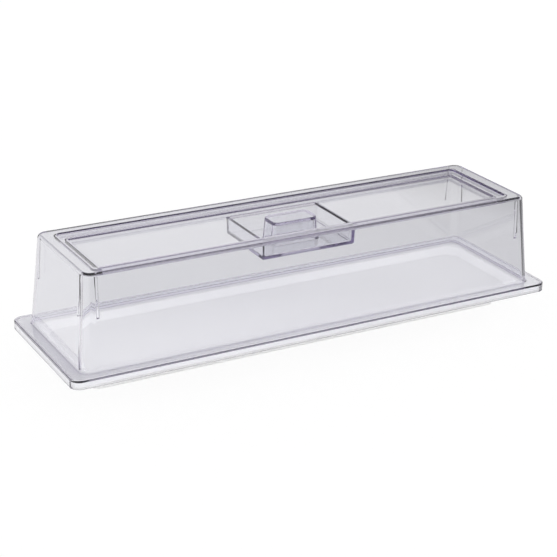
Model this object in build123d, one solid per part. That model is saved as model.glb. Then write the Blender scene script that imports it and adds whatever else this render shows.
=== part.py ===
from build123d import *
import math
import os

# Clear food cover of the gastronorm size 2/4, standing on its matching white display tray.
# Millimetres, +Z up. The origin is the middle of the tray's footprint, on the table.
# The long side runs along X, and everything is symmetrical about the planes X = 0 and Y = 0.

# Cover: footprint, thickness and walls
COVER_LENGTH = 530.0
COVER_WIDTH = 162.0
COVER_CORNER = 10.0
WALL = 3.0
SKIRT_DEPTH = 9.0
FLANGE_END = 13.6
FLANGE_SIDE = 12.4
BODY_HEIGHT = 92.3
BODY_DRAFT = 4.45
BODY_CORNER = 10.0
CORE_CORNER = 7.0
ROOF_EDGE = 3.5
CEILING_EDGE = 1.0
FOOT_EDGE = 2.0
MOUTH_EDGE = 3.5
FLANGE_EDGE = 1.0
SKIRT_EDGE = 0.6

# Cover: rim, ledge and sunk panel of the roof
RIM_END = 16.0
RIM_SIDE = 13.8
LEDGE = 8.5
RIM_DROP = 3.0
LEDGE_DROP = 4.0
LEDGE_CORNER = 4.0
PANEL_CORNER = 1.5
STEP_EDGE = 1.2

# Cover: well for the fingers and the hollow grip that stands in it
WELL_LENGTH = 98.6
WELL_SIDE = 4.0
WELL_DEPTH = 17.8
WELL_DRAFT = 1.5
WELL_CORNER = 1.5
WELL_FLOOR_EDGE = 1.2
GRIP_LENGTH = 52.0
GRIP_WIDTH = 27.0
GRIP_HEIGHT = 22.0
GRIP_DRAFT = 3.0
GRIP_CORNER = 5.5
GRIP_CROWN = 6.4
GRIP_EDGE = 3.0
GRIP_FOOT_EDGE = 1.2
CAVITY_EDGE = 1.2

# Cover: stacking ribs, one at each end of each wall
RIB_WIDTH = 2.5
RIB_INSET = 9.1
RIB_LENGTH = 40.1
RIB_PROUD = 0.3
RIB_DRAFT = 2.7

# Tray: rim, dish and recessed foot
TRAY_CLEARANCE = 0.8
TRAY_HEIGHT = 30.0
TRAY_CORNER = 6.0
TRAY_RIM = 5.0
TRAY_RIM_EDGE = 1.5
TRAY_UNDER_EDGE = 0.8
TRAY_LEDGE = 16.0
DISH_DEPTH = 6.0
DISH_DRAFT = 50.0
DISH_CORNER = 14.0
DISH_EDGE = 3.0
DISH_BACK_EDGE = 2.5
TRAY_FLOOR = 4.0
FOOT_END = 30.2
FOOT_SIDE = 36.2
FOOT_TIP = 3.5
FOOT_DRAFT = 5.0
FOOT_HOLLOW_DRAFT = 2.0
FOOT_CORNER = 10.0
FOOT_TIP_EDGE = 1.0
FOOT_ROOT_EDGE = 2.0

# Levels that follow from the sizes above
SEAT = TRAY_HEIGHT
FLANGE_TOP = SEAT + WALL
SKIRT_LOW = FLANGE_TOP - SKIRT_DEPTH
ROOF_TOP = FLANGE_TOP + BODY_HEIGHT
CEILING = ROOF_TOP - WALL
LEDGE_TOP = ROOF_TOP - RIM_DROP
PANEL_TOP = LEDGE_TOP - LEDGE_DROP
WELL_FLOOR = PANEL_TOP - WELL_DEPTH
GRIP_TOP = WELL_FLOOR + GRIP_HEIGHT
RIM_UNDER = SEAT - TRAY_RIM
DISH_FLOOR = SEAT - DISH_DEPTH
TRAY_UNDER = DISH_FLOOR - TRAY_FLOOR

LEVEL_TOLERANCE = 0.001


def lean(height, draft):
    """Sideways shift of a face that leans by a draft angle over a height."""
    return height * math.tan(math.radians(draft))


def level_thickness(thickness, draft):
    """Thickness, measured level, of a wall that leans by a draft angle."""
    return thickness / math.cos(math.radians(draft))


def slab(length, width, corner, low, high):
    """Upright block on a rounded rectangle."""
    outline = Plane.XY.offset(low) * RectangleRounded(length, width, corner)
    return extrude(outline, amount=high - low)


def leaning_block(length, width, corner, low, high, draft):
    """Block that narrows upwards from its lower outline, with one radius on its four leaning corners."""
    block = extrude(Plane.XY.offset(low) * Rectangle(length, width), amount=high - low, taper=draft)
    return fillet(leaning_edges(block, high - low), corner)


def sinking_block(length, width, corner, high, low, draft):
    """Block that narrows downwards from its upper outline, with one radius on its four leaning corners."""
    block = mirror(leaning_block(length, width, corner, 0, high - low, draft), about=Plane.XY)
    return Pos(0, 0, high) * block


def leaning_edges(solid, height):
    """The edges of a block that run from its lower face to its upper face."""
    return [edge for edge in solid.edges() if edge.bounding_box().size.Z > height / 2]


def outline_edges(solid, length, width, level):
    """The edges of a solid that lie level, on an outline of a given length and width."""
    found = []
    for edge in solid.edges():
        box = edge.bounding_box()
        is_level = max(abs(box.min.Z - level), abs(box.max.Z - level)) < LEVEL_TOLERANCE
        reach_x = max(abs(box.min.X), abs(box.max.X)) - length / 2
        reach_y = max(abs(box.min.Y), abs(box.max.Y)) - width / 2
        is_inside = max(reach_x, reach_y) < LEVEL_TOLERANCE
        is_on_side = min(abs(reach_x), abs(reach_y)) < LEVEL_TOLERANCE
        if is_level and is_inside and is_on_side:
            found.append(edge)
    return found


def body_size():
    """Length and width of the cover's walls where they stand on the flange, outside."""
    return COVER_LENGTH - 2 * FLANGE_END, COVER_WIDTH - 2 * FLANGE_SIDE


def roof_size():
    """Length and width of the roof before its edge is rounded."""
    length, width = body_size()
    inset = 2 * lean(BODY_HEIGHT, BODY_DRAFT)
    return length - inset, width - inset


def ledge_size():
    """Length and width of the first step of the roof, inside the rim."""
    length, width = roof_size()
    return length - 2 * RIM_END, width - 2 * RIM_SIDE


def panel_size():
    """Length and width of the sunk panel, inside the ledge."""
    length, width = ledge_size()
    return length - 2 * LEDGE, width - 2 * LEDGE


def well_size():
    """Length and width of the well's mouth, with a strip of the panel left in front of it and behind it."""
    return WELL_LENGTH, panel_size()[1] - 2 * WELL_SIDE


def core_size(level):
    """Length and width between the walls, inside, at a level."""
    length, width = body_size()
    inset = 2 * (lean(level - FLANGE_TOP, BODY_DRAFT) + level_thickness(WALL, BODY_DRAFT))
    return length - inset, width - inset


def core_block(grow):
    """The space between the walls, from the tray to the ceiling, grown sideways on every side."""
    length, width = core_size(SEAT)
    return leaning_block(length + 2 * grow, width + 2 * grow, CORE_CORNER, SEAT, CEILING, BODY_DRAFT)


def walls_and_flange():
    """The cover as a closed shell: skirt, flange, leaning walls and a plain flat roof."""
    shell = slab(COVER_LENGTH, COVER_WIDTH, COVER_CORNER, SKIRT_LOW, FLANGE_TOP)
    shell = shell + leaning_block(*body_size(), BODY_CORNER, FLANGE_TOP, ROOF_TOP, BODY_DRAFT)
    shell = fillet(outline_edges(shell, *roof_size(), ROOF_TOP), ROOF_EDGE)
    shell = fillet(outline_edges(shell, *body_size(), FLANGE_TOP), FOOT_EDGE)
    shell = fillet(outline_edges(shell, COVER_LENGTH, COVER_WIDTH, FLANGE_TOP), FLANGE_EDGE)
    inner_length = COVER_LENGTH - 2 * WALL
    inner_width = COVER_WIDTH - 2 * WALL
    shell = shell - slab(inner_length, inner_width, COVER_CORNER - WALL, SKIRT_LOW, SEAT)
    shell = chamfer(outline_edges(shell, COVER_LENGTH, COVER_WIDTH, SKIRT_LOW), SKIRT_EDGE)
    shell = chamfer(outline_edges(shell, inner_length, inner_width, SKIRT_LOW), SKIRT_EDGE)
    core = core_block(0)
    shell = shell - fillet(outline_edges(core, *core_size(CEILING), CEILING), CEILING_EDGE)
    return fillet(outline_edges(shell, *core_size(SEAT), SEAT), MOUTH_EDGE)


def grown(size):
    """A length and a width with the wall added on every side."""
    length, width = size
    return length + 2 * WALL, width + 2 * WALL


def stepped_roof(shell):
    """The shell with its rim left standing, and a ledge and a sunk panel stepped down inside it."""
    shell = shell + slab(*grown(ledge_size()), LEDGE_CORNER + WALL, LEDGE_TOP - WALL, CEILING)
    shell = shell + slab(*grown(panel_size()), PANEL_CORNER + WALL, PANEL_TOP - WALL, LEDGE_TOP - WALL)
    shell = shell - slab(*ledge_size(), LEDGE_CORNER, LEDGE_TOP, ROOF_TOP)
    shell = shell - slab(*panel_size(), PANEL_CORNER, PANEL_TOP, LEDGE_TOP)
    shell = chamfer(outline_edges(shell, *ledge_size(), ROOF_TOP), STEP_EDGE)
    return chamfer(outline_edges(shell, *panel_size(), LEDGE_TOP), STEP_EDGE)


def finger_well(shell):
    """The shell with the well pressed down into its panel, at the wall's thickness all round."""
    length, width = well_size()
    skin = 2 * level_thickness(WALL, WELL_DRAFT) - 2 * lean(WALL, WELL_DRAFT)
    outer_low = WELL_FLOOR - WALL
    outer_high = PANEL_TOP - WALL
    outer_size = (length + skin, width + skin)
    outer = sinking_block(*outer_size, WELL_CORNER + WALL, outer_high, outer_low, WELL_DRAFT)
    outer_fall = 2 * lean(outer_high - outer_low, WELL_DRAFT)
    floor_outline = (outer_size[0] - outer_fall, outer_size[1] - outer_fall)
    outer = fillet(outline_edges(outer, *floor_outline, outer_low), WELL_FLOOR_EDGE + WALL)
    inner = sinking_block(length, width, WELL_CORNER, PANEL_TOP, WELL_FLOOR, WELL_DRAFT)
    inner_fall = 2 * lean(WELL_DEPTH, WELL_DRAFT)
    floor_outline = (length - inner_fall, width - inner_fall)
    inner = fillet(outline_edges(inner, *floor_outline, WELL_FLOOR), WELL_FLOOR_EDGE)
    shell = shell + outer - inner
    return chamfer(outline_edges(shell, length, width, PANEL_TOP), STEP_EDGE)


def hollow_grip(shell):
    """The shell with the grip raised from the well's floor and hollowed from below."""
    grip = leaning_block(GRIP_LENGTH, GRIP_WIDTH, GRIP_CORNER, WELL_FLOOR, GRIP_TOP, GRIP_DRAFT)
    fall = 2 * lean(GRIP_HEIGHT, GRIP_DRAFT)
    grip = fillet(outline_edges(grip, GRIP_LENGTH - fall, GRIP_WIDTH - fall, GRIP_TOP), GRIP_EDGE)
    skin = 2 * level_thickness(WALL, GRIP_DRAFT) - 2 * lean(WALL, GRIP_DRAFT)
    low = WELL_FLOOR - WALL
    high = GRIP_TOP - GRIP_CROWN
    length = GRIP_LENGTH - skin
    width = GRIP_WIDTH - skin
    cavity = leaning_block(length, width, GRIP_CORNER - WALL, low, high, GRIP_DRAFT)
    fall = 2 * lean(high - low, GRIP_DRAFT)
    cavity = fillet(outline_edges(cavity, length - fall, width - fall, high), CAVITY_EDGE)
    shell = shell + grip
    shell = fillet(outline_edges(shell, GRIP_LENGTH, GRIP_WIDTH, WELL_FLOOR), GRIP_FOOT_EDGE)
    return shell - cavity


def stacking_ribs():
    """Eight upright ribs inside the corners, each deepest at its lower end, where a nested cover rests."""
    length, width = core_size(CEILING)
    half_length = length / 2 - RIB_PROUD
    half_width = width / 2 - RIB_PROUD
    reach = lean(RIB_LENGTH, BODY_DRAFT) + WALL + RIB_PROUD
    low = CEILING - RIB_LENGTH
    middle = low + RIB_LENGTH / 2
    spread = lean(RIB_LENGTH, RIB_DRAFT)
    between_ribs = (2 * (half_length + spread), 2 * (half_width + spread))
    space = core_block(WALL / 2) - leaning_block(*between_ribs, CORE_CORNER, low, CEILING, RIB_DRAFT)
    ribs = []
    for side_x in (-1, 1):
        for side_y in (-1, 1):
            along_x = side_x * (length / 2 - RIB_INSET)
            along_y = side_y * (width / 2 - RIB_INSET)
            on_side = Pos(along_x, side_y * (half_width + reach / 2), middle)
            ribs.append(on_side * Box(RIB_WIDTH, reach, RIB_LENGTH) & space)
            on_end = Pos(side_x * (half_length + reach / 2), along_y, middle)
            ribs.append(on_end * Box(reach, RIB_WIDTH, RIB_LENGTH) & space)
    return ribs


def make_cover():
    """The clear cover, one moulding."""
    cover = hollow_grip(finger_well(stepped_roof(walls_and_flange())))
    for rib in stacking_ribs():
        cover = cover + rib
    return cover


def tray_size():
    """Length and width of the tray's rim, which stands inside the cover's skirt."""
    gap = 2 * (WALL + TRAY_CLEARANCE)
    return COVER_LENGTH - gap, COVER_WIDTH - gap


def dish_mouth():
    """Length and width of the dish at the level of the rim."""
    length, width = tray_size()
    return length - 2 * TRAY_LEDGE, width - 2 * TRAY_LEDGE


def rim_plate():
    """The tray's rim as a full plate with rounded edges."""
    length, width = tray_size()
    plate = slab(length, width, TRAY_CORNER, RIM_UNDER, SEAT)
    plate = fillet(outline_edges(plate, length, width, SEAT), TRAY_RIM_EDGE)
    return chamfer(outline_edges(plate, length, width, RIM_UNDER), TRAY_UNDER_EDGE)


def make_tray():
    """The white tray, one moulding: a rim that carries the cover, a shallow dish and a recessed foot."""
    length, width = dish_mouth()
    skin = 2 * level_thickness(TRAY_FLOOR, DISH_DRAFT) - 2 * lean(TRAY_RIM, DISH_DRAFT)
    back_size = (length + skin, width + skin)
    back = sinking_block(*back_size, DISH_CORNER, RIM_UNDER, TRAY_UNDER, DISH_DRAFT)
    fall = 2 * lean(RIM_UNDER - TRAY_UNDER, DISH_DRAFT)
    back_low = (back_size[0] - fall, back_size[1] - fall)
    back = fillet(outline_edges(back, *back_low, TRAY_UNDER), DISH_BACK_EDGE)
    dish = sinking_block(length, width, DISH_CORNER, SEAT, DISH_FLOOR, DISH_DRAFT)
    fall = 2 * lean(DISH_DEPTH, DISH_DRAFT)
    dish = fillet(outline_edges(dish, length - fall, width - fall, DISH_FLOOR), DISH_EDGE)
    tray = rim_plate() + back
    tray = fillet(outline_edges(tray, *back_size, RIM_UNDER), DISH_BACK_EDGE)
    tray = tray - dish
    tray = fillet(outline_edges(tray, length, width, SEAT), DISH_EDGE)
    return with_foot(tray)


def foot_size():
    """Length and width of the foot where it stands on the table."""
    length, width = tray_size()
    return length - 2 * FOOT_END, width - 2 * FOOT_SIDE


def with_foot(tray):
    """The tray with its hollow foot, a closed ring that narrows towards the table."""
    length, width = foot_size()
    spread = 2 * lean(TRAY_UNDER, FOOT_DRAFT)
    root_size = (length + spread, width + spread)
    ring = sinking_block(*root_size, FOOT_CORNER, TRAY_UNDER, 0, FOOT_DRAFT)
    hollow_size = (length - 2 * FOOT_TIP, width - 2 * FOOT_TIP)
    ring = ring - leaning_block(*hollow_size, FOOT_CORNER - FOOT_TIP, 0, TRAY_UNDER, FOOT_HOLLOW_DRAFT)
    ring = chamfer(outline_edges(ring, length, width, 0), FOOT_TIP_EDGE)
    tray = tray + ring
    return fillet(outline_edges(tray, *root_size, TRAY_UNDER), FOOT_ROOT_EDGE)


os.makedirs("parts", exist_ok=True)
for name, solid in (("clear_cover", make_cover()), ("display_tray", make_tray())):
    export_step(solid, os.path.join("parts", name + ".step"))
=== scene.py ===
"""Looks of a clear gastronorm food cover on its white display tray.

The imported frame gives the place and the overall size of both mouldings. Each moulding is one closed surface: a
profile with rounded turns, carried around rounded rectangles that share one upright axis. Lengths are metres, +Z is
up and the long side runs along X.
"""
import logging
import math
from dataclasses import dataclass
from enum import Enum

import bpy
import numpy as np
from mathutils import Matrix, Vector


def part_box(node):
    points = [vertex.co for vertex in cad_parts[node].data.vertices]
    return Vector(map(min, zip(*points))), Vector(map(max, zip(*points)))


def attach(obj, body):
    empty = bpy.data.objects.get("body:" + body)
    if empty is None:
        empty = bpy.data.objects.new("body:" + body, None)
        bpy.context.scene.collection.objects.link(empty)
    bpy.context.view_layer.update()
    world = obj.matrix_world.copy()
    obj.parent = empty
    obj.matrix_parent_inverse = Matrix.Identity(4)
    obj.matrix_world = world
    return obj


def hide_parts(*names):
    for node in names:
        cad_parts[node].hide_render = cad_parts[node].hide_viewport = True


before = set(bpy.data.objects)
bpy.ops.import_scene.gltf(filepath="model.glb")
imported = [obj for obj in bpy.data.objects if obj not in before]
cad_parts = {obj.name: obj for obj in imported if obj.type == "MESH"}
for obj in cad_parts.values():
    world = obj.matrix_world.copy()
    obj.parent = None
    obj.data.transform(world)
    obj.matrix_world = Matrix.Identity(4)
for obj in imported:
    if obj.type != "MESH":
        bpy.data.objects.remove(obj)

LOG = logging.getLogger("food_cover")
MM = 0.001
Array = np.ndarray
Colour = tuple[float, float, float, float]


class Body(Enum):
    """The bodies of the frame that the mouldings ride on."""

    TRAY = "tray"
    COVER = "cover"


class Slot(Enum):
    """The record's material slots."""

    CLEAR = "clear_plastic"
    WHITE = "white_melamine"


class Arc(Enum):
    """How many steps the arc of a rounded turn is drawn in."""

    COARSE = 4
    PLAIN = 6
    FINE = 8
    BROAD = 10


def lean(height: float, draft: float) -> float:
    """Sideways shift of a face that leans by a draft angle, in degrees, over a height."""
    return height * math.tan(math.radians(draft))


def level_thickness(thickness: float, draft: float) -> float:
    """Thickness, measured level, of a wall that leans by a draft angle, in degrees."""
    return thickness / math.cos(math.radians(draft))


@dataclass(frozen=True)
class Turn:
    """One corner of a profile.

    half_x and half_y are the half length and half width of its ring, level is its height, corner is the radius of
    the ring's corners in plan, and rounding is the radius of the profile's own arc there, drawn in the arc's steps.
    """

    half_x: float
    half_y: float
    level: float
    corner: float
    rounding: float
    arc: Arc = Arc.PLAIN


@dataclass(frozen=True)
class Rings:
    """Rounded rectangles of a moulding in order along its profile, as arrays of one value per ring."""

    half_x: Array
    half_y: Array
    level: Array
    corner: Array


@dataclass(frozen=True)
class Rib:
    """A pair of stations that bound an upright rib beside each corner, measured from the corner's tangent.

    The rib runs from low up to high. At the level top its face lies at face_x on the end walls and at face_y on the
    side walls, and below it leans outwards by draft, in degrees. Its sides stand still while the wall leans, so the
    stations shift with the tangent from tangent_x and tangent_y.
    """

    outer: float
    inner: float
    low: float
    high: float
    top: float
    draft: float
    face_x: float
    face_y: float
    tangent_x: float
    tangent_y: float

    def spread(self, level: Array) -> Array:
        """How far the rib's face has leaned outwards at each level."""
        return (self.top - level) * math.tan(math.radians(self.draft))


class MouldedShell:
    """A closed surface: a profile of turns carried around rounded rectangles, with a pole at each end.

    Points on a straight run lie closer together near the corner. RIB_ON_END and RIB_ON_SIDE are those of a run's
    points that lie on a rib's face. LEVEL is the place of the height in a row of half length, half width, level and
    corner.
    """

    SUPPORT = 0.25 * MM
    LEAST_CORNER = 0.3 * MM
    SHARP_ANGLE = math.radians(32.0)
    CORNER_ANGLES = (13.0, 21.0, 29.0, 37.0, 45.0, 53.0, 61.0, 69.0, 77.0)
    RUN_STEPS = (6.0 * MM, 14.0 * MM, 40.0 * MM, 100.0 * MM, 200.0 * MM, math.inf)
    RUN_SHARES = (0.45, 0.7, 0.78, 0.86, 0.93, 1.0)
    RIB_SIDE = 0.4 * MM
    PLAIN_STEPS = (0.02 * MM, 0.1 * MM, 3.2 * MM, 3.3 * MM)
    PLAIN_SHARES = (0.004, 0.02, 0.25, 0.27)
    RIB_ON_END = slice(-3, -1)
    RIB_ON_SIDE = slice(1, 3)
    LEVEL = 2

    def __init__(self, name: str, turns: list[Turn], first_level: float, last_level: float,
                 rib: Rib | None = None) -> None:
        """Keeps the profile.

        Args:
            name: the piece's name.
            turns: the profile's corners, from the pole on the upper side, outwards and back below.
            first_level: height of the pole that the profile starts from.
            last_level: height of the pole that it ends at.
            rib: the ribs on the wall between their two levels, if the moulding has them.
        """
        self.name = name
        self.turns = turns
        self.first_level = first_level
        self.last_level = last_level
        self.rib = rib

    def rings(self) -> Rings:
        """Rounds the profile's turns.

        Each turn becomes an arc that touches both of its legs. With u and v the unit vectors along the legs and t the
        angle between them, the arc's centre lies on their bisector at rounding / sin(t / 2), and its points are the
        spherical blend of the two end radii. One more ring supports the flat leg on either side of the arc.

        Returns:
            The rings, in order along the profile.
        """
        places = [(0.0, self.first_level)]
        places += [(turn.half_x, turn.level) for turn in self.turns]
        places += [(0.0, self.last_level)]
        points = np.array(places)
        columns: list[Array] = []
        for index, turn in enumerate(self.turns, start=1):
            legs = points[[index - 1, index + 1]] - points[index]
            lengths = np.linalg.norm(legs, axis=1)
            u, v = legs / lengths[:, None]
            angle = math.acos(float(np.clip(u @ v, -1.0, 1.0)))
            reach = turn.rounding / math.tan(angle / 2)
            centre = (u + v) / np.linalg.norm(u + v) * turn.rounding / math.sin(angle / 2)
            sweep = math.pi - angle
            share = np.linspace(0.0, 1.0, turn.arc.value + 1)[:, None]
            arc = np.sin((1 - share) * sweep) * (u * reach - centre) + np.sin(share * sweep) * (v * reach - centre)
            arc = centre + arc / math.sin(sweep)
            shift = np.vstack([u * (reach + self.SUPPORT), arc, v * (reach + self.SUPPORT)])
            corner = np.maximum(turn.corner + shift[:, 0], self.LEAST_CORNER)
            columns.append(np.column_stack([turn.half_x + shift[:, 0], turn.half_y + shift[:, 0],
                                            turn.level + shift[:, 1], corner]))
        rows = np.vstack(columns)
        if self.rib is not None:
            rows = self.with_rib_foot(rows)
        return Rings(*rows.T)

    def with_rib_foot(self, rows: Array) -> Array:
        """Adds two rings just below and just above the ribs' lower ends, on the wall that the ribs stand on.

        Args:
            rows: the profile's rings as rows of half length, half width, level and corner.

        Returns:
            The rows with the two rings set in between the wall's two ends.
        """
        after = int(np.nonzero(self.on_rib_wall(Rings(*rows.T)))[0][0])
        below, above = rows[after - 1], rows[after]
        levels = self.rib.low + np.array([-self.RIB_SIDE, self.RIB_SIDE])
        share = (levels - below[self.LEVEL]) / (above[self.LEVEL] - below[self.LEVEL])
        return np.insert(rows, after, below + share[:, None] * (above - below), axis=0)

    def on_rib_wall(self, rings: Rings) -> Array:
        """Tells which rings carry ribs: those past the lowest ring, outside the ribs' faces and at their levels.

        Args:
            rings: the rings along the profile.

        Returns:
            One truth value per ring.
        """
        inner = np.arange(len(rings.level)) > int(np.argmin(rings.level))
        level = (rings.level > self.rib.low - 2 * self.RIB_SIDE) & (rings.level <= self.rib.high)
        return inner & level & (rings.half_x > self.rib.face_x + self.rib.spread(rings.level))

    def stations(self, run: Array, tangent: float, ribbed: Array) -> Array:
        """Distances from a corner's tangent, towards the middle of the side, of the points on a straight run.

        Args:
            run: length of the straight run, from the tangent to the middle, for each ring.
            tangent: where the tangent lies on the ring that the ribs' places are measured from.
            ribbed: which rings have ribs.

        Returns:
            One row per ring, nearest point first.
        """
        plain = np.minimum(np.array(self.PLAIN_STEPS), run[:, None] * np.array(self.PLAIN_SHARES))
        far = np.minimum(np.array(self.RUN_STEPS), run[:, None] * np.array(self.RUN_SHARES))
        if self.rib is None:
            return np.hstack([plain, far])
        sides = np.array([self.rib.outer - self.RIB_SIDE, self.rib.outer + self.RIB_SIDE,
                          self.rib.inner - self.RIB_SIDE, self.rib.inner + self.RIB_SIDE])
        still = sides + (run - tangent)[:, None]
        near = np.where(ribbed[:, None], still, plain)
        past_rib = near[:, -1:] + self.SUPPORT * np.arange(1, far.shape[1] + 1)
        return np.hstack([near, np.where(ribbed[:, None], np.maximum(far, past_rib), far)])

    def quarter(self, rings: Rings) -> Array:
        """Sets out the points of one quarter of every ring, from the +X axis round the corner to the +Y axis.

        A point on the end's straight run is (half_x, half_y - corner - d), one on the corner is the corner's centre
        plus corner * (cos t, sin t), and one on the side's run is (half_x - corner - d, half_y). Between a rib's two
        stations the distance from the middle is limited to the rib's face.

        Args:
            rings: the rings along the profile.

        Returns:
            An array of rings by points by two.
        """
        ribbed = np.zeros(len(rings.level), bool) if self.rib is None else self.on_rib_wall(rings)
        run_x = rings.half_x - rings.corner
        run_y = rings.half_y - rings.corner
        tangent_x, tangent_y = (0.0, 0.0) if self.rib is None else (self.rib.tangent_x, self.rib.tangent_y)
        down_end = self.stations(run_y, tangent_y, ribbed)[:, ::-1]
        along_side = self.stations(run_x, tangent_x, ribbed)
        end_x = np.broadcast_to(rings.half_x[:, None], down_end.shape)
        side_y = np.broadcast_to(rings.half_y[:, None], along_side.shape)
        end = np.stack([end_x, run_y[:, None] - down_end], axis=2)
        side = np.stack([run_x[:, None] - along_side, side_y], axis=2)
        angles = np.radians(np.array(self.CORNER_ANGLES))
        bend = np.stack([run_x[:, None] + rings.corner[:, None] * np.cos(angles),
                         run_y[:, None] + rings.corner[:, None] * np.sin(angles)], axis=2)
        if self.rib is not None:
            clipped = ribbed & (rings.level > self.rib.low)
            spread = self.rib.spread(rings.level[clipped])[:, None]
            on_end, on_side = (clipped, self.RIB_ON_END, 0), (clipped, self.RIB_ON_SIDE, 1)
            end[on_end] = np.minimum(end[on_end], self.rib.face_x + spread)
            side[on_side] = np.minimum(side[on_side], self.rib.face_y + spread)
        return np.concatenate([end, bend, side], axis=1)

    def grid(self) -> Array:
        """Mirrors the quarter to whole rings and lifts each ring to its level.

        Returns:
            An array of rings by points by three, counter-clockwise seen from above.
        """
        rings = self.rings()
        first = self.quarter(rings)
        back = first[:, :0:-1]
        first = first[:, :-1]
        plan = np.concatenate([first, back * (-1, 1), first * (-1, -1), back * (1, -1)], axis=1)
        level = np.broadcast_to(rings.level[:, None, None], plan.shape[:2] + (1,))
        return np.concatenate([plan, level], axis=2)

    def build(self) -> bpy.types.Object:
        """Makes the mesh: the grid's four-sided faces, and a fan of triangles to each pole.

        Returns:
            The new object, at the origin.
        """
        grid = self.grid()
        rows, columns = grid.shape[:2]
        vertices = np.vstack([grid.reshape(-1, 3), (0.0, 0.0, self.first_level), (0.0, 0.0, self.last_level)])
        index = np.arange(rows * columns).reshape(rows, columns)
        beside = np.roll(index, -1, axis=1)
        quads = np.stack([index[:-1], index[1:], beside[1:], beside[:-1]], axis=2).reshape(-1, 4)
        first_pole = np.full(columns, rows * columns)
        first_fan = np.stack([first_pole, index[0], beside[0]], axis=1)
        last_fan = np.stack([index[-1], first_pole + 1, beside[-1]], axis=1)
        mesh = bpy.data.meshes.new(self.name)
        mesh.from_pydata(vertices.tolist(), [], quads.tolist() + first_fan.tolist() + last_fan.tolist())
        mesh.shade_smooth()
        mesh.set_sharp_from_angle(angle=self.SHARP_ANGLE)
        piece = bpy.data.objects.new(self.name, mesh)
        bpy.context.scene.collection.objects.link(piece)
        return piece


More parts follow.
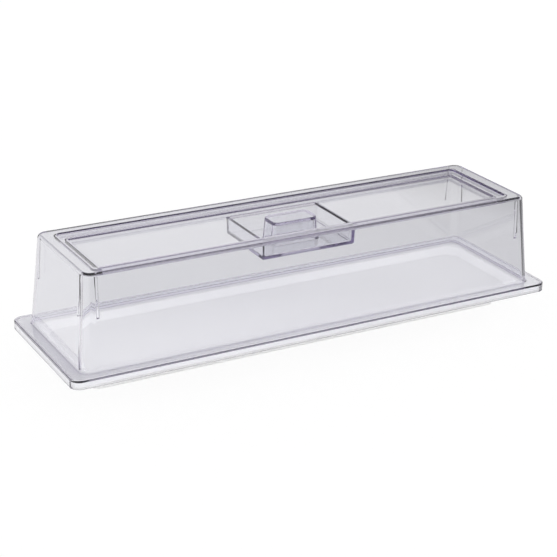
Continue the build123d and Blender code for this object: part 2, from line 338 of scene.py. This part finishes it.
@dataclass(frozen=True)
class ClearCover:
    """The clear cover: skirt, flange, leaning walls, stepped roof, finger well and hollow grip."""

    wall: float = 3.0 * MM
    skirt_depth: float = 9.0 * MM
    air_gap: float = 0.3 * MM
    plan_corner: float = 10.0 * MM
    flange_end: float = 13.6 * MM
    flange_side: float = 12.4 * MM
    flange_edge: float = 1.2 * MM
    skirt_edge: float = 0.3 * MM
    seat_edge: float = 0.5 * MM
    mouth_edge: float = 3.5 * MM
    foot_edge: float = 2.0 * MM
    draft: float = 4.45
    body_corner: float = 10.0 * MM
    core_corner: float = 7.0 * MM
    roof_edge: float = 3.5 * MM
    ceiling_edge: float = 1.0 * MM
    rim_end: float = 16.0 * MM
    rim_side: float = 13.8 * MM
    ledge: float = 8.5 * MM
    rim_drop: float = 3.0 * MM
    ledge_drop: float = 4.0 * MM
    ledge_corner: float = 4.0 * MM
    panel_corner: float = 1.5 * MM
    step_top_edge: float = 1.5 * MM
    step_foot_edge: float = 0.3 * MM
    under_step_edge: float = 2.0 * MM
    under_step_root: float = 0.3 * MM
    well_length: float = 98.6 * MM
    well_side: float = 4.0 * MM
    well_depth: float = 17.8 * MM
    well_draft: float = 1.5
    well_corner: float = 1.2 * MM
    well_mouth_edge: float = 1.5 * MM
    well_floor_edge: float = 2.0 * MM
    under_well_edge: float = 2.5 * MM
    under_well_corner: float = 1.8 * MM
    under_well_root: float = 0.6 * MM
    grip_length: float = 52.0 * MM
    grip_width: float = 27.0 * MM
    grip_height: float = 22.0 * MM
    grip_draft: float = 3.0
    grip_corner: float = 6.5 * MM
    grip_crown: float = 3.5 * MM
    grip_edge: float = 0.8 * MM
    grip_foot_edge: float = 1.2 * MM
    hollow_edge: float = 0.5 * MM
    hollow_corner: float = 3.5 * MM
    hollow_mouth_edge: float = 0.6 * MM
    rib_width: float = 2.5 * MM
    rib_inset: float = 9.1 * MM
    rib_length: float = 40.1 * MM
    rib_proud: float = 0.3 * MM
    rib_draft: float = 2.7

    def upper_turns(self, high: Vector) -> list[Turn]:
        """Turns of the upper side, from the grip out to the flange's edge.

        Args:
            high: the highest corner of the cover's box in the frame.

        Returns:
            The turns in order, from the grip's top outwards and down.
        """
        roof = high.z
        low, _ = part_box("clear_cover")
        flange_top = low.z + self.skirt_depth
        body_x, body_y = high.x - self.flange_end, high.y - self.flange_side
        inset = lean(roof - flange_top, self.draft)
        roof_x, roof_y = body_x - inset, body_y - inset
        ledge_x, ledge_y = roof_x - self.rim_end, roof_y - self.rim_side
        panel_x, panel_y = ledge_x - self.ledge, ledge_y - self.ledge
        ledge_top = roof - self.rim_drop
        panel_top = ledge_top - self.ledge_drop
        floor = panel_top - self.well_depth
        well_x, well_y = self.well_length / 2, panel_y - self.well_side
        well_fall = lean(self.well_depth, self.well_draft)
        grip_x, grip_y = self.grip_length / 2, self.grip_width / 2
        grip_fall = lean(self.grip_height, self.grip_draft)
        grip_top = floor + self.grip_height
        return [
            Turn(grip_x - grip_fall, grip_y - grip_fall, grip_top, self.grip_corner, self.grip_edge, Arc.FINE),
            Turn(grip_x, grip_y, floor, self.grip_corner, self.grip_foot_edge),
            Turn(well_x - well_fall, well_y - well_fall, floor, self.well_corner, self.well_floor_edge),
            Turn(well_x, well_y, panel_top, self.well_corner, self.well_mouth_edge, Arc.FINE),
            Turn(panel_x, panel_y, panel_top, self.panel_corner, self.step_foot_edge),
            Turn(panel_x, panel_y, ledge_top, self.panel_corner, self.step_top_edge, Arc.FINE),
            Turn(ledge_x, ledge_y, ledge_top, self.ledge_corner, self.step_foot_edge),
            Turn(ledge_x, ledge_y, roof, self.ledge_corner, self.step_top_edge, Arc.FINE),
            Turn(roof_x, roof_y, roof, self.body_corner, self.roof_edge, Arc.BROAD),
            Turn(body_x, body_y, flange_top, self.body_corner, self.foot_edge),
            Turn(high.x, high.y, flange_top, self.plan_corner, self.flange_edge),
        ]

    def lower_turns(self, high: Vector) -> list[Turn]:
        """Turns of the skirt and of the inner side, one wall inside the upper side.

        Args:
            high: the highest corner of the cover's box in the frame.

        Returns:
            The turns in order, from the skirt's lower edge inwards and up to the grip's hollow.
        """
        roof = high.z
        low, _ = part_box("clear_cover")
        flange_top = low.z + self.skirt_depth
        seat = flange_top - self.wall + self.air_gap
        skirt_corner = self.plan_corner - self.wall
        thick = level_thickness(self.wall, self.draft)
        ceiling = roof - self.wall
        body_x, body_y = high.x - self.flange_end, high.y - self.flange_side
        mouth = thick - lean(self.wall - self.air_gap, self.draft)
        inset = thick + lean(ceiling - flange_top, self.draft)
        roof_inset = lean(roof - flange_top, self.draft)
        ledge_x = body_x - roof_inset - self.rim_end + self.wall
        ledge_y = body_y - roof_inset - self.rim_side + self.wall
        panel_x, panel_y = ledge_x - self.ledge, ledge_y - self.ledge
        ledge_under = ceiling - self.rim_drop
        panel_under = ledge_under - self.ledge_drop
        well_under = panel_under - self.well_depth
        skin = level_thickness(self.wall, self.well_draft) - lean(self.wall, self.well_draft)
        well_x = self.well_length / 2 + skin
        well_y = panel_y - self.wall - self.well_side + skin
        well_fall = lean(self.well_depth, self.well_draft)
        skin = level_thickness(self.wall, self.grip_draft) - lean(self.wall, self.grip_draft)
        hollow_x, hollow_y = self.grip_length / 2 - skin, self.grip_width / 2 - skin
        hollow_top = well_under + self.wall + self.grip_height - self.grip_crown
        hollow_fall = lean(hollow_top - well_under, self.grip_draft)
        return [
            Turn(high.x, high.y, low.z, self.plan_corner, self.skirt_edge),
            Turn(high.x - self.wall, high.y - self.wall, low.z, skirt_corner, self.skirt_edge),
            Turn(high.x - self.wall, high.y - self.wall, seat, skirt_corner, self.seat_edge, Arc.COARSE),
            Turn(body_x - mouth, body_y - mouth, seat, self.core_corner, self.mouth_edge, Arc.FINE),
            Turn(body_x - inset, body_y - inset, ceiling, self.core_corner, self.ceiling_edge, Arc.FINE),
            Turn(ledge_x, ledge_y, ceiling, self.ledge_corner + self.wall, self.under_step_root, Arc.COARSE),
            Turn(ledge_x, ledge_y, ledge_under, self.ledge_corner + self.wall, self.under_step_edge),
            Turn(panel_x, panel_y, ledge_under, self.panel_corner + self.wall, self.under_step_root, Arc.COARSE),
            Turn(panel_x, panel_y, panel_under, self.panel_corner + self.wall, self.under_step_edge),
            Turn(well_x, well_y, panel_under, self.under_well_corner, self.under_well_root),
            Turn(well_x - well_fall, well_y - well_fall, well_under, self.under_well_corner,
                 self.under_well_edge, Arc.FINE),
            Turn(hollow_x, hollow_y, well_under, self.hollow_corner, self.hollow_mouth_edge),
            Turn(hollow_x - hollow_fall, hollow_y - hollow_fall, hollow_top, self.hollow_corner, self.hollow_edge),
        ]

    def rib(self, ceiling_turn: Turn) -> Rib:
        """Places the stacking ribs beside the inner corners.

        Args:
            ceiling_turn: the turn where the inner wall meets the ceiling.

        Returns:
            The ribs' stations, levels and faces.
        """
        from_tangent = self.rib_inset - ceiling_turn.corner
        return Rib(
            outer=from_tangent - self.rib_width / 2,
            inner=from_tangent + self.rib_width / 2,
            low=ceiling_turn.level - self.rib_length,
            high=ceiling_turn.level - ceiling_turn.rounding,
            top=ceiling_turn.level,
            draft=self.rib_draft,
            face_x=ceiling_turn.half_x - self.rib_proud,
            face_y=ceiling_turn.half_y - self.rib_proud,
            tangent_x=ceiling_turn.half_x - ceiling_turn.corner,
            tangent_y=ceiling_turn.half_y - ceiling_turn.corner,
        )

    def build(self) -> bpy.types.Object:
        """Makes the cover's surface from both sides' turns and the ribs.

        Returns:
            The cover's piece.
        """
        _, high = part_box("clear_cover")
        upper, lower = self.upper_turns(high), self.lower_turns(high)
        ceiling = high.z - self.wall
        rib = self.rib(next(turn for turn in lower if abs(turn.level - ceiling) < MM))
        return MouldedShell("cover_moulding", upper + lower, upper[0].level, lower[-1].level, rib).build()


@dataclass(frozen=True)
class DisplayTray:
    """The white tray: a flat rim, a shallow dish and a recessed, hollow foot."""

    rim: float = 5.0 * MM
    corner: float = 6.0 * MM
    ledge: float = 16.0 * MM
    dish_depth: float = 6.0 * MM
    dish_draft: float = 50.0
    dish_corner: float = 14.0 * MM
    floor: float = 4.0 * MM
    foot_end: float = 30.2 * MM
    foot_side: float = 36.2 * MM
    foot_tip: float = 3.5 * MM
    foot_draft: float = 5.0
    foot_hollow_draft: float = 2.0
    foot_corner: float = 10.0 * MM
    dish_edge: float = 3.0 * MM
    rim_edge: float = 1.5 * MM
    rim_under_edge: float = 1.0 * MM
    dish_back_edge: float = 2.5 * MM
    foot_root_edge: float = 2.0 * MM
    foot_tip_edge: float = 1.0 * MM
    hollow_mouth_edge: float = 0.8 * MM
    hollow_edge: float = 1.0 * MM

    def turns(self) -> list[Turn]:
        """Turns of the whole tray.

        Returns:
            The turns in order, from the dish's floor out over the rim and back below to the hollow foot.
        """
        low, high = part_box("display_tray")
        seat = high.z
        mouth_x, mouth_y = high.x - self.ledge, high.y - self.ledge
        fall = lean(self.dish_depth, self.dish_draft)
        dish_floor = seat - self.dish_depth
        rim_under = seat - self.rim
        under = dish_floor - self.floor
        skin = level_thickness(self.floor, self.dish_draft) - lean(self.rim, self.dish_draft)
        back_x, back_y = mouth_x + skin, mouth_y + skin
        back_fall = lean(rim_under - under, self.dish_draft)
        foot_x, foot_y = high.x - self.foot_end, high.y - self.foot_side
        spread = lean(under - low.z, self.foot_draft)
        hollow_fall = lean(under - low.z, self.foot_hollow_draft)
        tip_x, tip_y = foot_x - self.foot_tip, foot_y - self.foot_tip
        tip_corner = self.foot_corner - self.foot_tip
        return [
            Turn(mouth_x - fall, mouth_y - fall, dish_floor, self.dish_corner, self.dish_edge, Arc.FINE),
            Turn(mouth_x, mouth_y, seat, self.dish_corner, self.dish_edge, Arc.FINE),
            Turn(high.x, high.y, seat, self.corner, self.rim_edge, Arc.FINE),
            Turn(high.x, high.y, rim_under, self.corner, self.rim_under_edge),
            Turn(back_x, back_y, rim_under, self.dish_corner, self.dish_back_edge),
            Turn(back_x - back_fall, back_y - back_fall, under, self.dish_corner, self.dish_back_edge),
            Turn(foot_x + spread, foot_y + spread, under, self.foot_corner, self.foot_root_edge),
            Turn(foot_x, foot_y, low.z, self.foot_corner, self.foot_tip_edge),
            Turn(tip_x, tip_y, low.z, tip_corner, self.hollow_mouth_edge),
            Turn(tip_x - hollow_fall, tip_y - hollow_fall, under, tip_corner, self.hollow_edge),
        ]

    def build(self) -> bpy.types.Object:
        """Makes the tray's surface."""
        turns = self.turns()
        return MouldedShell("tray_moulding", turns, turns[0].level, turns[-1].level).build()


class NodeTree:
    """A short way to write a node tree."""

    MIX_FIRST, MIX_SECOND, MIX_RESULT = 6, 7, 2

    def __init__(self, tree: bpy.types.NodeTree) -> None:
        """Empties the tree and keeps it."""
        self.tree = tree
        tree.nodes.clear()

    def add(self, kind: str, inputs: dict[str | int, object] | None = None, **settings: object) -> bpy.types.Node:
        """Adds a node.

        Args:
            kind: the node's type name.
            inputs: sockets by name or number, each with a value to set or an output to link.
            settings: the node's own properties.

        Returns:
            The new node.
        """
        node = self.tree.nodes.new(kind)
        for name, value in settings.items():
            setattr(node, name, value)
        for name, value in (inputs or {}).items():
            if isinstance(value, bpy.types.NodeSocket):
                self.tree.links.new(value, node.inputs[name])
            else:
                node.inputs[name].default_value = value
        return node

    def math(self, operation: str, first: object, second: object = 0.0) -> bpy.types.NodeSocket:
        """Adds a Math node and gives its output."""
        return self.add("ShaderNodeMath", {0: first, 1: second}, operation=operation).outputs[0]

    def spread(self, value: bpy.types.NodeSocket, low: float, high: float) -> bpy.types.NodeSocket:
        """Maps a value from 0 to 1 onto a range, and gives the output."""
        return self.fade(value, (0.0, 1.0), low, high)

    def fade(self, value: bpy.types.NodeSocket, places: tuple[float, float], first: object, last: object,
             **settings: object) -> bpy.types.NodeSocket:
        """Maps a value between two places onto a range, and holds the range's ends outside them.

        Args:
            value: the output to read.
            places: where the range starts and where it ends.
            first: the result up to the first place.
            last: the result from the second place on.
            settings: the Map Range node's own properties.

        Returns:
            The mapped value.
        """
        start, end = places
        inputs = {"Value": value, "From Min": start, "From Max": end, "To Min": first, "To Max": last}
        return self.add("ShaderNodeMapRange", inputs, **settings).outputs["Result"]

    def mix(self, factor: bpy.types.NodeSocket, first: object, second: object) -> bpy.types.NodeSocket:
        """Mixes two colours by a factor, and gives the output."""
        inputs = {"Factor": factor, self.MIX_FIRST: first, self.MIX_SECOND: second}
        return self.add("ShaderNodeMix", inputs, data_type="RGBA").outputs[self.MIX_RESULT]

    def ramp(self, value: bpy.types.NodeSocket, stops: tuple[tuple[float, Colour], ...]) -> bpy.types.NodeSocket:
        """Runs a value from 0 to 1 through a ramp of colours.

        Args:
            value: the output to read.
            stops: the ramp's places and their colours, in rising order.

        Returns:
            The colour output.
        """
        node = self.add("ShaderNodeValToRGB", {"Fac": value})
        elements = node.color_ramp.elements
        elements[0].position, elements[1].position = stops[0][0], stops[-1][0]
        for place, _ in stops[1:-1]:
            elements.new(place)
        for element, (_, colour) in zip(elements, stops):
            element.color = colour
        return node.outputs["Color"]


@dataclass(frozen=True)
class ClearPlastic:
    """Clear styrene plastic: polished, a little violet through its thickness, with faint flow and handling marks."""

    ior: float = 1.57
    roughness: tuple[float, float] = (0.0, 0.012)
    mark_scale: float = 160.0
    mark_detail: float = 6.0
    flow_scale: tuple[float, float, float] = (9.0, 22.0, 30.0)
    flow_detail: float = 2.0
    flow_height: float = 0.00002
    tint: Colour = (0.982, 0.99, 0.994, 1.0)
    absorption_colour: Colour = (0.5, 0.41, 0.66, 1.0)
    absorption_density: float = 26.0

    def material(self) -> bpy.types.Material:
        """Builds the material: glassy, with fine marks in its roughness, slow waves in its bump and a violet depth.

        Returns:
            The material.
        """
        material = bpy.data.materials.new("clear_plastic")
        material.use_nodes = True
        nodes = NodeTree(material.node_tree)
        place = nodes.add("ShaderNodeTexCoord").outputs["Object"]
        marks = nodes.add("ShaderNodeTexNoise", {
            "Vector": place, "Scale": self.mark_scale, "Detail": self.mark_detail})
        stretched = nodes.add("ShaderNodeMapping", {"Vector": place, "Scale": self.flow_scale})
        flow = nodes.add("ShaderNodeTexNoise", {
            "Vector": stretched.outputs[0], "Scale": 1.0, "Detail": self.flow_detail})
        bump = nodes.add("ShaderNodeBump", {"Height": flow.outputs["Fac"], "Distance": self.flow_height})
        surface = nodes.add("ShaderNodeBsdfPrincipled", {
            "Base Color": self.tint,
            "Transmission Weight": 1.0,
            "IOR": self.ior,
            "Roughness": nodes.spread(marks.outputs["Fac"], *self.roughness),
            "Normal": bump.outputs["Normal"],
        })
        depth = nodes.add("ShaderNodeVolumeAbsorption", {
            "Color": self.absorption_colour, "Density": self.absorption_density})
        nodes.add("ShaderNodeOutputMaterial", {"Surface": surface.outputs[0], "Volume": depth.outputs[0]})
        return material


@dataclass(frozen=True)
class WhiteMelamine:
    """White melamine: a hard gloss with the faint ripple and haze of a pressed moulding."""

    bright: Colour = (0.92, 0.92, 0.915, 1.0)
    dull: Colour = (0.88, 0.88, 0.875, 1.0)
    roughness: tuple[float, float] = (0.16, 0.3)
    haze_scale: float = 14.0
    haze_detail: float = 5.0
    ripple_scale: float = 60.0
    ripple_detail: float = 3.0
    ripple_height: float = 0.00003

    def material(self) -> bpy.types.Material:
        """Builds the material: a cloudy white with haze in its roughness and a fine ripple in its bump.

        Returns:
            The material.
        """
        material = bpy.data.materials.new("white_melamine")
        material.use_nodes = True
        nodes = NodeTree(material.node_tree)
        place = nodes.add("ShaderNodeTexCoord").outputs["Object"]
        haze = nodes.add("ShaderNodeTexNoise", {
            "Vector": place, "Scale": self.haze_scale, "Detail": self.haze_detail})
        ripple = nodes.add("ShaderNodeTexNoise", {
            "Vector": place, "Scale": self.ripple_scale, "Detail": self.ripple_detail})
        bump = nodes.add("ShaderNodeBump", {"Height": ripple.outputs["Fac"], "Distance": self.ripple_height})
        surface = nodes.add("ShaderNodeBsdfPrincipled", {
            "Base Color": nodes.mix(haze.outputs["Fac"], self.bright, self.dull),
            "Roughness": nodes.spread(haze.outputs["Fac"], *self.roughness),
            "Normal": bump.outputs["Normal"],
        })
        nodes.add("ShaderNodeOutputMaterial", {"Surface": surface.outputs[0]})
        return material


@dataclass(frozen=True)
class Studio:
    """A white sweep under soft light, and the photograph's camera.

    In the plastic, the surroundings are dimmer than they are to the eye. In front, the floor fades from floor_glow to
    front_glow, between front_near and front_far along Y less front_slant times X. To the right, it fades by side_glow
    between side_start and side_end along X, and at the far right by corner_glow between corner_start and corner_end
    along X plus corner_slant times Y. The sky has a dark gap above a pale horizon. The light on the part changes from
    lamp_side, level with it, to lamp_top, straight above. A ray with a diffuse depth above no_bounce lights the part.
    """

    floor_size: float = 14.0
    floor_glow: float = 0.91
    see_through: float = 0.78
    floor_seen_albedo: float = 0.09
    floor_lit_albedo: float = 0.8
    front_glow: float = 0.1
    front_far: float = -0.35
    front_near: float = -0.1
    front_slant: float = 0.6
    side_start: float = 0.0
    side_end: float = 0.7
    side_glow: float = 0.8
    corner_start: float = 0.5
    corner_end: float = 0.8
    corner_glow: float = 0.3
    corner_slant: float = 0.6
    white: Colour = (1.0, 1.0, 1.0, 1.0)
    sky: tuple[tuple[float, Colour], ...] = (
        (0.38, (0.95, 0.95, 0.95, 1.0)),
        (0.45, (0.08, 0.05, 0.14, 1.0)),
        (0.64, (0.08, 0.05, 0.14, 1.0)),
        (0.74, (0.9, 0.9, 0.9, 1.0)),
    )
    lamp_top: float = 0.68
    lamp_side: float = 1.97
    azimuth: float = -29.41
    elevation: float = 22.27
    roll: float = 1.2
    aim: tuple[float, float, float] = (0.0, 0.0, 74.0 * MM)
    aside: tuple[float, float] = (-10.82 * MM, -16.82 * MM)
    distance: float = 1525.42 * MM
    sensor: float = 36.0
    lens: float = 98.4
    no_bounce: float = 0.5
    bounces: int = 20
    mirror_bounces: int = 16
    clear_bounces: int = 16

    def seen(self, nodes: NodeTree, path: bpy.types.Node) -> bpy.types.NodeSocket:
        """Tells rays that show the surroundings from rays that light the part.

        Args:
            nodes: the node tree to add to.
            path: its Light Path node.

        Returns:
            1 for a ray that shows the surroundings, directly or in the plastic, and 0 for one that lights.
        """
        direct = nodes.math("ADD", path.outputs["Is Camera Ray"], path.outputs["Is Glossy Ray"])
        shown = nodes.math("MINIMUM", nodes.math("ADD", direct, path.outputs["Is Transmission Ray"]), 1.0)
        lit = nodes.math("GREATER_THAN", path.outputs["Diffuse Depth"], self.no_bounce)
        return nodes.math("MULTIPLY", shown, nodes.math("SUBTRACT", 1.0, lit))

    def around(self, nodes: NodeTree, path: bpy.types.Node, plain: object, mirrored: object) -> bpy.types.NodeSocket:
        """Chooses the brightness of the surroundings by the ray that sees them.

        Args:
            nodes: the node tree to add to.
            path: its Light Path node.
            plain: the brightness for the camera's own rays.
            mirrored: the brightness in a reflection. It is multiplied by see_through for rays through the plastic.

        Returns:
            The chosen brightness.
        """
        camera = path.outputs["Is Camera Ray"]
        lost = nodes.math("MULTIPLY", path.outputs["Is Transmission Ray"], 1.0 - self.see_through)
        dimmed = nodes.math("MULTIPLY", mirrored, nodes.math("SUBTRACT", 1.0, lost))
        hidden = nodes.math("MULTIPLY", nodes.math("SUBTRACT", 1.0, camera), dimmed)
        return nodes.math("ADD", nodes.math("MULTIPLY", camera, plain), hidden)

    def floor_in_plastic(self, nodes: NodeTree, path: bpy.types.Node) -> bpy.types.NodeSocket:
        """Brightness of the floor where it is seen in the plastic.

        It is the product of three fades over the floor: towards the front, for rays that were mirrored on their way,
        towards the right, and towards the far right corner.

        Args:
            nodes: the node tree to add to.
            path: its Light Path node.

        Returns:
            The brightness.
        """
        place = nodes.add("ShaderNodeSeparateXYZ", {0: nodes.add("ShaderNodeTexCoord").outputs["Object"]}).outputs
        turned = nodes.math("MINIMUM", path.outputs["Glossy Depth"], 1.0)
        lost = nodes.math("MULTIPLY", turned, self.floor_glow - self.front_glow)
        slanted = nodes.math("MULTIPLY", place["X"], self.front_slant)
        front = nodes.fade(nodes.math("SUBTRACT", place["Y"], slanted), (self.front_far, self.front_near),
                           nodes.math("SUBTRACT", self.floor_glow, lost), self.floor_glow)
        side = nodes.fade(place["X"], (self.side_start, self.side_end), 1.0, self.side_glow)
        cornered = nodes.math("MULTIPLY", place["Y"], self.corner_slant)
        corner = nodes.fade(nodes.math("ADD", place["X"], cornered), (self.corner_start, self.corner_end),
                            1.0, self.corner_glow)
        return nodes.math("MULTIPLY", nodes.math("MULTIPLY", front, side), corner)

    def floor(self) -> bpy.types.Object:
        """Makes the floor: white to the eye, dimmer where it is seen in the plastic, and shaded by the part.

        Returns:
            The floor.
        """
        half = self.floor_size / 2
        mesh = bpy.data.meshes.new("floor")
        mesh.from_pydata([(-half, -half, 0), (half, -half, 0), (half, half, 0), (-half, half, 0)], [], [(0, 1, 2, 3)])
        floor = bpy.data.objects.new("floor", mesh)
        bpy.context.scene.collection.objects.link(floor)
        material = bpy.data.materials.new("white_sweep")
        material.use_nodes = True
        nodes = NodeTree(material.node_tree)
        path = nodes.add("ShaderNodeLightPath")
        glow = self.around(nodes, path, self.floor_glow, self.floor_in_plastic(nodes, path))
        emission = nodes.add("ShaderNodeEmission", {"Strength": glow})
        seen_grey = (self.floor_seen_albedo,) * 3 + (1.0,)
        lit_grey = (self.floor_lit_albedo,) * 3 + (1.0,)
        shaded = nodes.add("ShaderNodeBsdfDiffuse", {"Color": seen_grey})
        shown = nodes.add("ShaderNodeAddShader", {0: emission.outputs[0], 1: shaded.outputs[0]})
        lighting = nodes.add("ShaderNodeBsdfDiffuse", {"Color": lit_grey})
        mixed = nodes.add("ShaderNodeMixShader", {
            0: self.seen(nodes, path), 1: lighting.outputs[0], 2: shown.outputs[0]})
        nodes.add("ShaderNodeOutputMaterial", {"Surface": mixed.outputs[0]})
        mesh.materials.append(material)
        return floor

    def world(self) -> None:
        """Sets the world: soft light, strongest from the sides, and in the plastic the sky with its dark gap."""
        world = bpy.data.worlds.new("studio")
        world.use_nodes = True
        bpy.context.scene.world = world
        nodes = NodeTree(world.node_tree)
        path = nodes.add("ShaderNodeLightPath")
        way = nodes.add("ShaderNodeSeparateXYZ", {0: nodes.add("ShaderNodeTexCoord").outputs["Generated"]})
        shown = self.around(nodes, path, 1.0, 1.0)
        lamp = nodes.fade(way.outputs["Z"], (0.0, 1.0), self.lamp_side, self.lamp_top,
                          interpolation_type="SMOOTHSTEP")
        seen = self.seen(nodes, path)
        unseen = nodes.math("SUBTRACT", 1.0, seen)
        strength = nodes.math("ADD", nodes.math("MULTIPLY", seen, shown), nodes.math("MULTIPLY", unseen, lamp))
        mirrored = nodes.math("SUBTRACT", seen, path.outputs["Is Camera Ray"])
        colour = nodes.mix(mirrored, self.white, nodes.ramp(way.outputs["Z"], self.sky))
        background = nodes.add("ShaderNodeBackground", {"Color": colour, "Strength": strength})
        nodes.add("ShaderNodeOutputWorld", {"Surface": background.outputs[0]})
        world.cycles.sampling_method = "NONE"

    def camera(self) -> bpy.types.Object:
        """Places the camera on its circle round the aim, turned by its roll and stepped aside.

        Returns:
            The camera, set as the scene's own.
        """
        turn, tilt = math.radians(self.azimuth), math.radians(self.elevation)
        back = Vector((math.sin(turn) * math.cos(tilt), -math.cos(turn) * math.cos(tilt), math.sin(tilt)))
        right = Vector((0, 0, 1)).cross(back).normalized()
        up = back.cross(right)
        axes = Matrix((right, up, back)).transposed() @ Matrix.Rotation(math.radians(self.roll), 3, "Z")
        data = bpy.data.cameras.new("camera")
        data.sensor_width = self.sensor
        data.lens = self.lens
        camera = bpy.data.objects.new("camera", data)
        bpy.context.scene.collection.objects.link(camera)
        place = Vector(self.aim) + axes @ Vector((*self.aside, self.distance))
        camera.matrix_world = Matrix.Translation(place) @ axes.to_4x4()
        bpy.context.scene.camera = camera
        return camera

    def build(self) -> None:
        """Sets up floor, world, camera and view settings, with bounces enough for light inside the plastic."""
        self.floor()
        self.world()
        self.camera()
        scene = bpy.context.scene
        scene.view_settings.view_transform = "Standard"
        scene.cycles.max_bounces = self.bounces
        scene.cycles.glossy_bounces = self.mirror_bounces
        scene.cycles.transmission_bounces = self.clear_bounces
        scene.cycles.blur_glossy = 0.0


def dress(piece: bpy.types.Object, material: bpy.types.Material, body: Body, node: str) -> None:
    """Gives a piece its finish and its body, and lets it stand for its CAD node.

    Args:
        piece: the new piece.
        material: its finish.
        body: the body that it rides on.
        node: the CAD node that it replaces.
    """
    piece.data.materials.append(material)
    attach(piece, body.value)
    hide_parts(node)
    LOG.info("%s: %d faces, on body %s", piece.name, len(piece.data.polygons), body.value)


def main() -> None:
    """Builds both mouldings and the studio."""
    logging.basicConfig(level=logging.INFO, format="%(name)s: %(message)s")
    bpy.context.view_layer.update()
    dress(DisplayTray().build(), WhiteMelamine().material(), Body.TRAY, "display_tray")
    dress(ClearCover().build(), ClearPlastic().material(), Body.COVER, "clear_cover")
    Studio().build()


if __name__ == "__main__":
    main()
